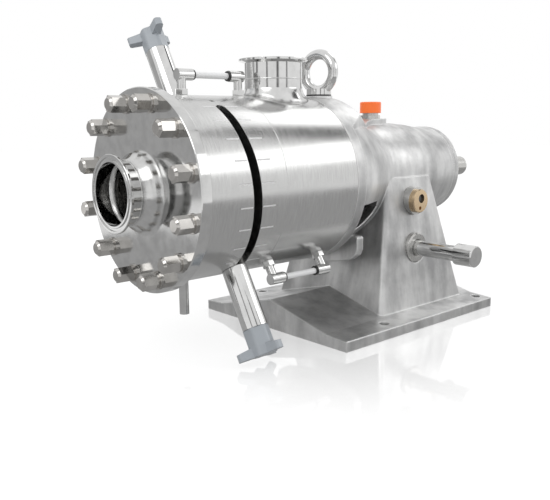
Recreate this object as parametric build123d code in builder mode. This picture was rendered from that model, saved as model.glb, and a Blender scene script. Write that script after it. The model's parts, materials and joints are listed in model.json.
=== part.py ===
from build123d import *
import math
import os

os.makedirs("parts", exist_ok=True)

# All sizes are millimetres. The origin is the centre of the foot bolt pattern on the floor,
# +Y runs from the inlet to the drive shaft and +Z is up.
# A station is a distance along the shaft line, measured back from the face of the front cover.
FRONT_Y = -402.5        # where station 0 lies on the Y axis
SHAFT_H = 206.0         # height of the shaft line above the floor

# Casing
CASE_R = 111.7          # outside of the housing and of the rear casing
COVER_R = 120.0
COVER_T = 14.5
SEAM = 129.6            # station where the front housing meets the rear casing
CASE_END = 252.3        # station of the rear face of the casing
CHAMBER_R = 98.0        # product chamber and adjuster cavity
GUIDE_R = 85.75         # bore that guides the stator carriage
STUD_PCD_R = 104.5
STUD_R = 6.0
STUD_HOLE_R = 6.3
STUD_COUNT = 12

# Three inch clamp ferrules
TUBE_R = 38.1
BORE_R = 36.45
RIM_R = 45.5
RIM_T = 2.9
RIM_TAPER = 2.7
GASKET_R = 40.4
GASKET_W = 3.2
GASKET_D = 1.4
INLET_S = -39.8         # station of the inlet face
WELD_S = -22.0
OUTLET_S = 206.6        # station of the outlet axis
OUTLET_TOP = 160.0      # height of the outlet face above the shaft line
OUTLET_HOLE_R = 37.5    # opening in the casing under the outlet neck

# Gap adjuster: two opposite handle studs ride in the two starts of one helix
HELIX_LEAD = 48.4
HELIX_S = 83.6          # station of the helix at angle zero
SLOT_W = 12.6
SLOT_DEEP_R = 94.0
SLOT_OUT_R = 116.0
HANDLE_ANGLE = -60.0
SLOT_START = -78.0
SLOT_END = 59.1
# Name, turn around the casing, radii of the knob's start and face, angle of its first lobe
HANDLES = (("lower", 0.0, 188.0, 222.0, 87.0), ("upper", 180.0, 196.0, 226.5, 20.0))
RING_FRONT = 60.0
RING_REAR = 100.5
RING_R = 97.6
RING_BORE_R = 76.15
CAVITY_FRONT = 43.5
CAVITY_REAR = 103.0
CARRIAGE_R = 76.0
CARRIAGE_FRONT = 31.0
CARRIAGE_REAR = 134.0
SPIGOT_END = 38.0
HANDLE_TUBE_R = 15.8
HANDLE_HOLE_R = 6.3
HANDLE_START_R = 112.0
STUD_IN_KNOB = 16.0
KNOB_HUB_R = 17.0
KNOB_LOBES = 3
KNOB_LOBE_R = 32.0
KNOB_ROOT_W = 13.0
KNOB_TIP_W = 10.0
KNOB_LOBE_H = 12.0      # depth of a lobe at the hub
KNOB_SLOPE = 6.4        # reach of a lobe for each millimetre that it gets thinner

# Milling head
CONE_FRONT = 138.0
CONE_REAR = 178.0
CONE_FRONT_R = 49.0
CONE_REAR_R = 67.0
CONE_GAP = 0.5
STATOR_R = 80.0
STATOR_REAR = 176.0
TOOTH_COUNT = 24
TOOTH_W = 5.0
TOOTH_D = 4.0

# Shaft
NOSE_R = 12.0           # thread under the rotor nut
SEAT_R = 15.0           # rotor seat
JOURNAL_R = 20.0        # seal and bearing seats
SHOULDER_R = 24.0
STUB_R = 16.0
ROTOR_NUT_S = 118.0
ROTOR_S = 137.0
SHOULDER_S = 196.0
BEARING_FRONT_S = 366.0
BEARING_REAR_S = 498.0
BEARING_W = 23.0
BEARING_R = 45.0
SHAFT_END = 643.0
SHAFT_GAP = 0.15        # radial room of the pieces that turn with the shaft
SHOULDER_FRONT = BEARING_FRONT_S + BEARING_W
SHOULDER_REAR = BEARING_REAR_S
JOURNAL_END = 541.5
KEY_W = 8.0
KEY_UP = 3.5            # how far a rotor key stands out of the shaft
ROTOR_KEY_S = 166.0
ROTOR_KEY_L = 40.0
STUB_KEY_S = 600.0
STUB_KEY_L = 63.0
STUB_KEY_W = 10.0
STUB_KEY_UP = 4.5

# Screws
SCREW_M5_R = 2.5
STATOR_SCREW_R = 76.5
STATOR_SCREWS = 6
FLANGE_SCREW_R = 76.0
FLANGE_SCREW_SIZE = 4.0
FLANGE_SCREWS = 6
FLANGE_SCREW_AT = 30.0
GLAND_SCREW_R = 50.0
GLAND_SCREWS = 4
COVER_SCREW_R = 51.5
REAR_BOLT_R = 57.0
REAR_BOLTS = 6

# Rear wall of the casing and mechanical seal, as stations and radii
CHAMBER_FRONT = 136.0
REAR_WALL = 238.0
GLAND_BORE_R = 40.0
GLAND_FRONT = 241.0
GLAND_REAR = 260.5
GLAND_FLANGE_R = 60.0
GLAND_SEAT_R = 31.0
SEAT_REAR = 249.0
SEAL_FACE = 240.0

# Bearing frame
FLANGE_END = 268.9
BARREL_R = 75.0
BARREL_END = 527.0
COVER_END = 541.0
COVER_REAR_R = 68.6
FRAME_WALL = 10.0
FOOT_X = 145.0
FOOT_FRONT = 197.0
FOOT_REAR = 526.0
FOOT_EDGE = 13.8
RIDGE_H = 41.8
BOLT_X = 126.0
BOLT_FRONT = 292.0
BOLT_REAR = 513.0
BOLT_HOLE_R = 7.0
PED_BASE_Z = 15.0
PED_TOP_Z = 204.0
PED_BASE = (106.0, 310.0, 503.0)    # half width, front station, rear station
PED_TOP = (76.0, 353.0, 455.0)
SUMP_BASE = (90.0, 330.0, 486.0)
SUMP_TOP = (66.0, 380.0, 442.0)
FOOT_RIB_X = 108.0
FOOT_RIB_Z = 16.0
FOOT_CORE_X = 104.0
EYE_S = 292.0
EYE_SHANK_R = 8.0
EYE_SHANK_L = 20.0
EYE_Z = 113.5           # height of the eye seat above the shaft line
PAD_S = 403.0
PAD_W = 34.0
PAD_TOP = 82.0
SIGHT_S = 404.0
SIGHT_Z = 170.0
DRAIN_S = 400.0
DRAIN_Z = 102.0
SIGHT_X = 78.0          # where the steel ring seats on the pedestal
SIGHT_BOSS_R = 20.0
SIGHT_BOSS_T = 13.0
SIGHT_HOLE_R = 11.0
DRAIN_X = 88.5
DRAIN_RING_R = 22.0
DRAIN_PIPE_R = 11.0
DRAIN_PIPE_END = 180.0
DRAIN_CAP_X = 166.0
DRAIN_CAP_END = 195.5
BREATHER_R = 9.0
CAP_R = 16.0
CAP_H = 16.5

# Flush lines: angle around the casing, stem stations, radius of the hose
FLUSH_LINES = ((90.0, 60.5, 146.5), (-57.0, 140.0, 228.0))
HOSE_LINE_R = 135.6
HOSE_R = 4.0
PORT_R = 3.5
DRAIN_TUBE_S = 54.5
DRAIN_TUBE_R = 6.0
DRAIN_TUBE_START = 112.7
DRAIN_TUBE_END = 157.0
DRAIN_SPIGOT_R = 5.0    # end of the drain tube inside the housing wall
DRAIN_BORE_R = 4.0

SIDE = Plane(origin=(0, FRONT_Y, SHAFT_H), x_dir=(0, 1, 0), z_dir=(1, 0, 0))
SHAFT_LINE = Axis((0, FRONT_Y, SHAFT_H), (0, 1, 0))
FLOOR = Plane(origin=(0, FRONT_Y, 0), x_dir=(1, 0, 0), z_dir=(0, 0, 1))
OUTLET_LINE = Axis((0, FRONT_Y + OUTLET_S, SHAFT_H), (0, 0, 1))


def facing_front(station, height=0.0):
    """Plane across the shaft line; its x is +X, its y is up and it faces the inlet."""
    origin = (0, FRONT_Y + station, SHAFT_H + height)
    return Plane(origin=origin, x_dir=(1, 0, 0), z_dir=(0, -1, 0))


def facing_out(angle, station, radius):
    """Plane on the casing at an angle from +X towards +Z; its x is +Y and it faces outwards."""
    across = math.cos(math.radians(angle))
    up = math.sin(math.radians(angle))
    origin = (radius * across, FRONT_Y + station, SHAFT_H + radius * up)
    return Plane(origin=origin, x_dir=(0, 1, 0), z_dir=(across, 0, up))


def facing_side(x, station, height):
    """Plane that faces +X at a height above the floor; its x is +Y."""
    origin = (x, FRONT_Y + station, height)
    return Plane(origin=origin, x_dir=(0, 1, 0), z_dir=(1, 0, 0))


def through_shaft(angle):
    """Plane through the shaft line at an angle; its x is the station and its y is the radius."""
    across = math.cos(math.radians(angle))
    up = math.sin(math.radians(angle))
    return Plane(origin=(0, FRONT_Y, SHAFT_H), x_dir=(0, 1, 0), z_dir=(up, 0, -across))


def turned(outline):
    """A piece turned about the shaft line from (station, radius) points."""
    with BuildPart() as piece:
        with BuildSketch(SIDE):
            with BuildLine():
                Polyline(*outline, close=True)
            make_face()
        revolve(axis=SHAFT_LINE)
    return piece.part


def save(solid, name):
    solid.label = name
    export_step(solid, f"parts/{name}.step")


def helix_station(angle):
    return HELIX_S - HELIX_LEAD * angle / 360.0


# Front cover: polished plate, concave neck for the inlet, spigot that guides the carriage
NECK_BLEND = ((-8.5, 45.8), (-11.5, 42.6), (-15.0, 40.2), (-18.5, 38.7), (WELD_S, TUBE_R))
with BuildPart() as front_cover:
    with BuildSketch(SIDE):
        with BuildLine():
            Polyline(
                (WELD_S, BORE_R), *reversed(NECK_BLEND), (0.0, 46.5), (0.0, COVER_R - 1.0),
                (1.0, COVER_R), (COVER_T - 1.0, COVER_R), (COVER_T, COVER_R - 1.0),
                (COVER_T, GUIDE_R), (SPIGOT_END, GUIDE_R), (SPIGOT_END, CARRIAGE_R + 0.1),
                (COVER_T, CARRIAGE_R + 0.1), (COVER_T, 60.0), (6.0, BORE_R), close=True)
        make_face()
    revolve(axis=SHAFT_LINE)
    with BuildSketch(facing_front(0)):
        with PolarLocations(STUD_PCD_R, STUD_COUNT, start_angle=15):
            Circle(STUD_HOLE_R)
    extrude(amount=-COVER_T, mode=Mode.SUBTRACT)
save(front_cover.part, "front_cover")

# Inlet ferrule, welded to the cover neck
with BuildPart() as inlet_ferrule:
    with BuildSketch(SIDE):
        with BuildLine():
            Polyline(
                (INLET_S, BORE_R), (INLET_S, GASKET_R - GASKET_W / 2),
                (INLET_S + GASKET_D, GASKET_R - GASKET_W / 2),
                (INLET_S + GASKET_D, GASKET_R + GASKET_W / 2),
                (INLET_S, GASKET_R + GASKET_W / 2), (INLET_S, RIM_R - 0.6),
                (INLET_S + 0.6, RIM_R), (INLET_S + RIM_T, RIM_R),
                (INLET_S + RIM_T + RIM_TAPER, TUBE_R), (WELD_S, TUBE_R), (WELD_S, BORE_R),
                close=True)
        make_face()
    revolve(axis=SHAFT_LINE)
save(inlet_ferrule.part, "inlet_ferrule")

# Cover studs, nuts and washers: twelve of each
STUD_FRONT = -14.0
STUD_REAR = 36.0
WASHER_T = 2.0
LOCK_T = 2.4
NUT_BASE = -WASHER_T - LOCK_T
NUT_AF = 18.0
NUT_H = 20.0
NUT_HEX_H = 17.5
with BuildPart() as cover_studs:
    with BuildSketch(facing_front(STUD_FRONT)):
        with PolarLocations(STUD_PCD_R, STUD_COUNT, start_angle=15):
            Circle(STUD_R)
    extrude(amount=STUD_FRONT - STUD_REAR)
save(cover_studs.part, "cover_studs")

with BuildPart() as flat_washers:
    with BuildSketch(facing_front(0)):
        with PolarLocations(STUD_PCD_R, STUD_COUNT, start_angle=15):
            Circle(11.5)
            Circle(STUD_HOLE_R, mode=Mode.SUBTRACT)
    extrude(amount=WASHER_T)
save(flat_washers.part, "flat_washers")

with BuildPart() as lock_washers:
    with BuildSketch(facing_front(-WASHER_T)):
        with PolarLocations(STUD_PCD_R, STUD_COUNT, start_angle=15):
            Circle(9.6)
            Circle(STUD_HOLE_R, mode=Mode.SUBTRACT)
    extrude(amount=LOCK_T)
save(lock_washers.part, "lock_washers")

with BuildPart() as cap_nuts:
    with BuildSketch(facing_front(NUT_BASE)):
        with PolarLocations(STUD_PCD_R, STUD_COUNT, start_angle=15):
            RegularPolygon(NUT_AF / 2, 6, major_radius=False)
    extrude(amount=NUT_HEX_H)
    with BuildSketch(facing_front(NUT_BASE - NUT_HEX_H)):
        with PolarLocations(STUD_PCD_R, STUD_COUNT, start_angle=15):
            Circle(NUT_AF / 2)
    extrude(amount=NUT_H - NUT_HEX_H, taper=45)
    with BuildSketch(facing_front(NUT_BASE)):
        with PolarLocations(STUD_PCD_R, STUD_COUNT, start_angle=15):
            Circle(STUD_R + 0.1)
    extrude(amount=NUT_BASE - STUD_FRONT + 0.5, mode=Mode.SUBTRACT)
save(cap_nuts.part, "cap_nuts")

# Seal ring between the cover and the front housing
SEAL_IN_R = 90.0
SEAL_OUT_R = 95.0
SEAL_DEEP = 4.0
save(turned((
    (COVER_T, SEAL_IN_R + 0.2), (COVER_T + SEAL_DEEP - 0.2, SEAL_IN_R + 0.2),
    (COVER_T + SEAL_DEEP - 0.2, SEAL_OUT_R - 0.2), (COVER_T, SEAL_OUT_R - 0.2),
)), "cover_seal")

# One length of helical slot, cut from a swept rectangle with round ends
def slot_cutter(start, end):
    helix = Edge.make_helix(
        pitch=HELIX_LEAD, height=HELIX_LEAD * (end - start) / 360.0, radius=SLOT_DEEP_R,
        center=(0, 0, 0), normal=(0, 0, 1))
    helix = helix.rotate(Axis.Z, start)
    slope = math.atan(HELIX_LEAD / (2 * math.pi * SLOT_DEEP_R))
    entry = Plane(origin=helix.position_at(0), z_dir=helix.tangent_at(0),
                  x_dir=(math.cos(math.radians(start)), math.sin(math.radians(start)), 0))
    with BuildPart() as cutter:
        with BuildSketch(entry):
            with Locations(((SLOT_OUT_R - SLOT_DEEP_R) / 2, 0)):
                Rectangle(SLOT_OUT_R - SLOT_DEEP_R, SLOT_W * math.cos(slope))
        sweep(path=helix, is_frenet=True)
    return facing_front(helix_station(start)).location * cutter.part


with BuildPart() as front_housing:
    with BuildSketch(SIDE):
        with BuildLine():
            Polyline(
                (COVER_T, GUIDE_R + 0.15), (COVER_T, SEAL_IN_R),
                (COVER_T + SEAL_DEEP, SEAL_IN_R), (COVER_T + SEAL_DEEP, SEAL_OUT_R),
                (COVER_T, SEAL_OUT_R), (COVER_T, CASE_R), (SEAM, CASE_R), (SEAM, CHAMBER_R),
                (CAVITY_FRONT, CHAMBER_R), (CAVITY_FRONT, GUIDE_R + 0.15), close=True)
        make_face()
    revolve(axis=SHAFT_LINE)
    with BuildSketch(facing_front(COVER_T)):
        with PolarLocations(STUD_PCD_R, STUD_COUNT, start_angle=15):
            Circle(STUD_R + 0.1)
    extrude(amount=COVER_T - STUD_REAR - 0.5, mode=Mode.SUBTRACT)
    for name, turn, knob_start, knob_face, lobe_angle in HANDLES:
        add(slot_cutter(SLOT_START, SLOT_END).rotate(SHAFT_LINE, turn), mode=Mode.SUBTRACT)
        for end_angle in (SLOT_START, SLOT_END):
            with BuildSketch(facing_out(end_angle + turn, helix_station(end_angle), SLOT_DEEP_R)):
                Circle(SLOT_W / 2)
            extrude(amount=SLOT_OUT_R - SLOT_DEEP_R, mode=Mode.SUBTRACT)
    # Scale lines cut across the visible slot
    for mark in range(9):
        mark_angle = 60.56 - 13.7 * mark
        mark_s = helix_station(mark_angle)
        for mark_from, mark_to in ((-25.0, -SLOT_W / 2 - 1.0), (SLOT_W / 2 + 1.0, 26.5)):
            middle = mark_s + (mark_from + mark_to) / 2
            with BuildSketch(facing_out(mark_angle, middle, CASE_R - 0.4)):
                Rectangle(mark_to - mark_from, 1.6)
            extrude(amount=2.0, mode=Mode.SUBTRACT)
    # Set screw hole behind the slot end, flush port and drain
    with BuildSketch(facing_out(68.5, helix_station(68.5), CHAMBER_R - 2)):
        Circle(3.2)
    extrude(amount=20.0, mode=Mode.SUBTRACT)
    with BuildSketch(facing_out(90.0, FLUSH_LINES[0][1], CHAMBER_R - 2)):
        Circle(PORT_R)
    extrude(amount=20.0, mode=Mode.SUBTRACT)
    with BuildSketch(facing_out(-90.0, DRAIN_TUBE_S, CHAMBER_R - 2)):
        Circle(DRAIN_SPIGOT_R + 0.1)
    extrude(amount=20.0, mode=Mode.SUBTRACT)
save(front_housing.part, "front_housing")

# Set screw that closes the scale side of the slot, flush with the casing
with BuildPart() as stop_screw:
    with BuildSketch(facing_out(68.5, helix_station(68.5), CHAMBER_R + 2)):
        Circle(3.0)
    extrude(amount=CASE_R - CHAMBER_R - 2.6)
    with BuildSketch(facing_out(68.5, helix_station(68.5), CASE_R - 0.6)):
        RegularPolygon(1.5, 6, major_radius=False)
    extrude(amount=-3.0, mode=Mode.SUBTRACT)
save(stop_screw.part, "slot_stop_screw")

# Adjusting ring: turns on the carriage and carries both handle studs
RING_TAP_R = 84.0
HANDLE_S = helix_station(HANDLE_ANGLE)
with BuildPart() as adjusting_ring:
    with BuildSketch(SIDE):
        with BuildLine():
            Polyline((RING_FRONT, RING_BORE_R), (RING_FRONT, RING_R), (RING_REAR, RING_R),
                     (RING_REAR, RING_BORE_R), close=True)
        make_face()
    revolve(axis=SHAFT_LINE)
    for name, turn, knob_start, knob_face, lobe_angle in HANDLES:
        with BuildSketch(facing_out(HANDLE_ANGLE + turn, HANDLE_S, RING_TAP_R)):
            Circle(STUD_R + 0.1)
        extrude(amount=20.0, mode=Mode.SUBTRACT)
save(adjusting_ring.part, "adjusting_ring")

# Handle studs and tubes: one of each for both handles
TUBE_BLANK_R = 90.0
with BuildPart() as handle_studs:
    for name, turn, knob_start, knob_face, lobe_angle in HANDLES:
        with BuildSketch(facing_out(HANDLE_ANGLE + turn, HANDLE_S, RING_TAP_R)):
            Circle(STUD_R)
        extrude(amount=knob_start + STUD_IN_KNOB - RING_TAP_R)
save(handle_studs.part, "handle_studs")

with BuildPart() as handle_tubes:
    for name, turn, knob_start, knob_face, lobe_angle in HANDLES:
        with BuildSketch(facing_out(HANDLE_ANGLE + turn, HANDLE_S, TUBE_BLANK_R)):
            Circle(HANDLE_TUBE_R)
            Circle(HANDLE_HOLE_R, mode=Mode.SUBTRACT)
        extrude(amount=knob_start - TUBE_BLANK_R)
    with BuildSketch(facing_front(CAVITY_FRONT)):
        Circle(HANDLE_START_R)
    extrude(amount=CAVITY_FRONT - SEAM, mode=Mode.SUBTRACT)
save(handle_tubes.part, "handle_tubes")

# Star knobs: three lobes that get thinner towards their tips; each turns by itself on its stud
TIP_CORNER = 2.0
for name, turn, knob_start, knob_face, lobe_angle in HANDLES:
    face = facing_out(HANDLE_ANGLE + turn, HANDLE_S, knob_face)
    with BuildPart() as star_knob:
        with BuildSketch(face):
            for lobe in range(KNOB_LOBES):
                with Locations(Rotation(0, 0, lobe_angle + 360.0 * lobe / KNOB_LOBES)):
                    Polygon((0, -KNOB_ROOT_W / 2), (KNOB_LOBE_R - TIP_CORNER, -KNOB_TIP_W / 2),
                            (KNOB_LOBE_R, TIP_CORNER - KNOB_TIP_W / 2),
                            (KNOB_LOBE_R, KNOB_TIP_W / 2 - TIP_CORNER),
                            (KNOB_LOBE_R - TIP_CORNER, KNOB_TIP_W / 2), (0, KNOB_ROOT_W / 2),
                            align=None)
        extrude(amount=-KNOB_LOBE_H)
        with Locations(face):
            Cone(KNOB_HUB_R - 1.0, KNOB_HUB_R - 1.0 + KNOB_SLOPE * KNOB_LOBE_H, KNOB_LOBE_H,
                 align=(Align.CENTER, Align.CENTER, Align.MAX), mode=Mode.INTERSECT)
        with BuildSketch(face) as hub:
            RegularPolygon(KNOB_HUB_R, 6, rotation=lobe_angle)
            fillet(hub.vertices(), 6.0)
        extrude(amount=knob_start + 0.1 - knob_face)
        with BuildSketch(face.offset(knob_start - knob_face)):
            Circle(STUD_R + 0.3)
        extrude(amount=STUD_IN_KNOB + 1.0, mode=Mode.SUBTRACT)
    save(star_knob.part, f"star_knob_{name}")

# Stator carriage: slides in the cover spigot and in the rear casing, and does not turn
KEY_ANGLE = 180.0
KEY_S = 107.6
KEY_R = 3.5
KEYWAY_FRONT = 96.0
KEYWAY_REAR = 127.6
RING_SHOULDER = RING_REAR + 0.15
NUT_FRONT = 54.5
NECK_SEAL = (32.6, 35.8)
REAR_SEAL = (128.8, 132.0)
with BuildPart() as stator_carriage:
    with BuildSketch(SIDE):
        with BuildLine():
            Polyline(
                (CARRIAGE_FRONT, 66.0), (CARRIAGE_FRONT, CARRIAGE_R),
                (NECK_SEAL[0], CARRIAGE_R), (NECK_SEAL[0], CARRIAGE_R - 2.8),
                (NECK_SEAL[1], CARRIAGE_R - 2.8), (NECK_SEAL[1], CARRIAGE_R),
                (RING_SHOULDER, CARRIAGE_R), (RING_SHOULDER, GUIDE_R - 0.05),
                (REAR_SEAL[0], GUIDE_R - 0.05), (REAR_SEAL[0], GUIDE_R - 3.2),
                (REAR_SEAL[1], GUIDE_R - 3.2), (REAR_SEAL[1], GUIDE_R - 0.05),
                (CARRIAGE_REAR, GUIDE_R - 0.05), (CARRIAGE_REAR, 50.0), (100.0, 54.0),
                close=True)
        make_face()
    revolve(axis=SHAFT_LINE)
    with BuildSketch(facing_out(KEY_ANGLE, (KEYWAY_FRONT + KEYWAY_REAR) / 2, 81.0)):
        SlotOverall(KEYWAY_REAR - KEYWAY_FRONT, 2 * KEY_R + 0.4)
    extrude(amount=10.0, mode=Mode.SUBTRACT)
    with BuildSketch(facing_front(CARRIAGE_REAR)):
        with PolarLocations(STATOR_SCREW_R, STATOR_SCREWS, start_angle=7.5):
            Circle(SCREW_M5_R + 0.1)
    extrude(amount=16.0, mode=Mode.SUBTRACT)
save(stator_carriage.part, "stator_carriage")

save(turned((
    (NUT_FRONT, CARRIAGE_R + 0.1), (NUT_FRONT, 83.5), (RING_FRONT - 0.15, 83.5),
    (RING_FRONT - 0.15, CARRIAGE_R + 0.1),
)), "ring_retaining_nut")

with BuildPart() as carriage_seals:
    for (groove_from, groove_to), groove_in, groove_out in (
            (NECK_SEAL, CARRIAGE_R - 2.7, CARRIAGE_R), (REAR_SEAL, GUIDE_R - 3.1, GUIDE_R - 0.05)):
        with BuildSketch(SIDE):
            with Locations(((groove_from + groove_to) / 2, (groove_in + groove_out) / 2)):
                Rectangle(groove_to - groove_from - 0.4, groove_out - groove_in)
        revolve(axis=SHAFT_LINE)
save(carriage_seals.part, "carriage_seals")

# Stator: toothed ring bolted to the rear of the carriage
CONE_SLOPE = (CONE_REAR_R - CONE_FRONT_R) / (CONE_REAR - CONE_FRONT)
TOOTH_FROM = CONE_FRONT + 3.0
TOOTH_TO = STATOR_REAR + 4.0


def cone_radius(station):
    return CONE_FRONT_R + CONE_SLOPE * (station - CONE_FRONT)


with BuildPart() as stator:
    with BuildSketch(SIDE):
        with BuildLine():
            Polyline(
                (CARRIAGE_REAR, cone_radius(CARRIAGE_REAR) + CONE_GAP),
                (CARRIAGE_REAR, STATOR_R), (STATOR_REAR, STATOR_R),
                (STATOR_REAR, cone_radius(STATOR_REAR) + CONE_GAP), close=True)
        make_face()
    revolve(axis=SHAFT_LINE)
    for tooth in range(TOOTH_COUNT):
        with BuildSketch(through_shaft(360.0 * tooth / TOOTH_COUNT)):
            with BuildLine():
                Polyline(
                    (TOOTH_FROM, cone_radius(TOOTH_FROM) - 2.0),
                    (TOOTH_FROM, cone_radius(TOOTH_FROM) + CONE_GAP + TOOTH_D),
                    (TOOTH_TO, cone_radius(TOOTH_TO) + CONE_GAP + TOOTH_D),
                    (TOOTH_TO, cone_radius(TOOTH_TO) - 2.0), close=True)
            make_face()
        extrude(amount=TOOTH_W / 2, both=True, mode=Mode.SUBTRACT)
    with BuildSketch(facing_front(STATOR_REAR)):
        with PolarLocations(STATOR_SCREW_R, STATOR_SCREWS, start_angle=7.5):
            Circle(SCREW_M5_R + 0.2)
    extrude(amount=STATOR_REAR - CARRIAGE_REAR, mode=Mode.SUBTRACT)
save(stator.part, "stator")

# Socket head screws that hold the stator on the carriage
with BuildPart() as stator_screws:
    with BuildSketch(facing_front(STATOR_REAR)):
        with PolarLocations(STATOR_SCREW_R, STATOR_SCREWS, start_angle=7.5):
            Circle(4.0)
    extrude(amount=-4.0)
    with BuildSketch(facing_front(STATOR_REAR)):
        with PolarLocations(STATOR_SCREW_R, STATOR_SCREWS, start_angle=7.5):
            Circle(SCREW_M5_R)
    extrude(amount=STATOR_REAR - CARRIAGE_REAR + 12.0)
    with BuildSketch(facing_front(STATOR_REAR + 4.0)):
        with PolarLocations(STATOR_SCREW_R, STATOR_SCREWS, start_angle=7.5):
            RegularPolygon(2.0, 6, major_radius=False)
    extrude(amount=2.5, mode=Mode.SUBTRACT)
save(stator_screws.part, "stator_screws")

# Guide key: set in the rear casing, runs in the keyway of the carriage
with BuildPart() as carriage_key:
    with BuildSketch(facing_out(KEY_ANGLE, KEY_S, 81.6)):
        Circle(KEY_R)
    extrude(amount=12.0)
save(carriage_key.part, "carriage_key")

# Rotor: toothed cone keyed to the shaft
ROTOR_HUB_R = 30.0
ROTOR_BORE_R = SEAT_R + SHAFT_GAP
ROTOR_REAR = 182.0
with BuildPart() as rotor:
    with BuildSketch(SIDE):
        with BuildLine():
            Polyline(
                (ROTOR_S, ROTOR_BORE_R), (ROTOR_S, 40.0), (CONE_FRONT, CONE_FRONT_R),
                (CONE_REAR, CONE_REAR_R), (ROTOR_REAR, CONE_REAR_R),
                (ROTOR_REAR, ROTOR_HUB_R), (SHOULDER_S, ROTOR_HUB_R),
                (SHOULDER_S, ROTOR_BORE_R), close=True)
        make_face()
    revolve(axis=SHAFT_LINE)
    for tooth in range(TOOTH_COUNT):
        with BuildSketch(through_shaft(360.0 * (tooth + 0.5) / TOOTH_COUNT)):
            with BuildLine():
                Polyline(
                    (CONE_FRONT - 2.0, cone_radius(CONE_FRONT - 2.0) - TOOTH_D),
                    (CONE_FRONT - 2.0, cone_radius(CONE_FRONT) + 4.0),
                    (TOOTH_TO - 6.0, cone_radius(TOOTH_TO) + 4.0),
                    (TOOTH_TO - 6.0, cone_radius(TOOTH_TO - 6.0) - TOOTH_D), close=True)
            make_face()
        extrude(amount=TOOTH_W / 2, both=True, mode=Mode.SUBTRACT)
    with BuildSketch(facing_front(ROTOR_S)):
        with Locations((0, SEAT_R)):
            Rectangle(KEY_W, 2 * KEY_UP + 0.4)
    extrude(amount=ROTOR_S - SHOULDER_S, mode=Mode.SUBTRACT)
save(rotor.part, "rotor")

# Rotor nut: domed cap nut on the front of the shaft, with two spanner flats
with BuildPart() as rotor_nut:
    with BuildSketch(SIDE):
        with BuildLine():
            Polyline(
                (ROTOR_NUT_S, 0), (ROTOR_NUT_S, 8.0), (ROTOR_NUT_S + 2.0, 15.0),
                (ROTOR_NUT_S + 6.0, 20.0), (ROTOR_NUT_S + 11.0, 23.0), (ROTOR_S, 23.0),
                (ROTOR_S, NOSE_R + SHAFT_GAP), (ROTOR_NUT_S + 5.0, NOSE_R + SHAFT_GAP),
                (ROTOR_NUT_S + 5.0, 0), close=True)
        make_face()
    revolve(axis=SHAFT_LINE)
    with BuildSketch(facing_front(ROTOR_NUT_S)):
        with Locations((0, 24.0), (0, -24.0)):
            Rectangle(50.0, 10.0)
    extrude(amount=ROTOR_NUT_S - ROTOR_S + 4.0, mode=Mode.SUBTRACT)
save(rotor_nut.part, "rotor_nut")

# Shaft
with BuildPart() as shaft:
    with BuildSketch(SIDE):
        with BuildLine():
            Polyline(
                (ROTOR_NUT_S + 6.0, 0), (ROTOR_NUT_S + 6.0, NOSE_R), (ROTOR_S + 1.0, NOSE_R),
                (ROTOR_S + 1.0, SEAT_R), (SHOULDER_S, SEAT_R), (SHOULDER_S, JOURNAL_R),
                (SHOULDER_FRONT, JOURNAL_R), (SHOULDER_FRONT, SHOULDER_R),
                (SHOULDER_REAR, SHOULDER_R), (SHOULDER_REAR, JOURNAL_R),
                (JOURNAL_END, JOURNAL_R), (JOURNAL_END, STUB_R), (SHAFT_END - 1.5, STUB_R),
                (SHAFT_END, STUB_R - 1.5), (SHAFT_END, 0), close=True)
        make_face()
    revolve(axis=SHAFT_LINE)
    # Keyways for the rotor key and for the coupling key
    with BuildSketch(facing_out(90.0, ROTOR_KEY_S, SEAT_R - KEY_UP)):
        SlotOverall(ROTOR_KEY_L, KEY_W)
    extrude(amount=KEY_UP + 1.0, mode=Mode.SUBTRACT)
    with BuildSketch(facing_out(90.0, STUB_KEY_S, STUB_R - STUB_KEY_UP)):
        SlotOverall(STUB_KEY_L, STUB_KEY_W)
    extrude(amount=STUB_KEY_UP + 1.0, mode=Mode.SUBTRACT)
save(shaft.part, "shaft")

with BuildPart() as rotor_key:
    with BuildSketch(facing_out(90.0, ROTOR_KEY_S, SEAT_R - KEY_UP)):
        SlotOverall(ROTOR_KEY_L, KEY_W)
    extrude(amount=2 * KEY_UP)
save(rotor_key.part, "rotor_key")

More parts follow.
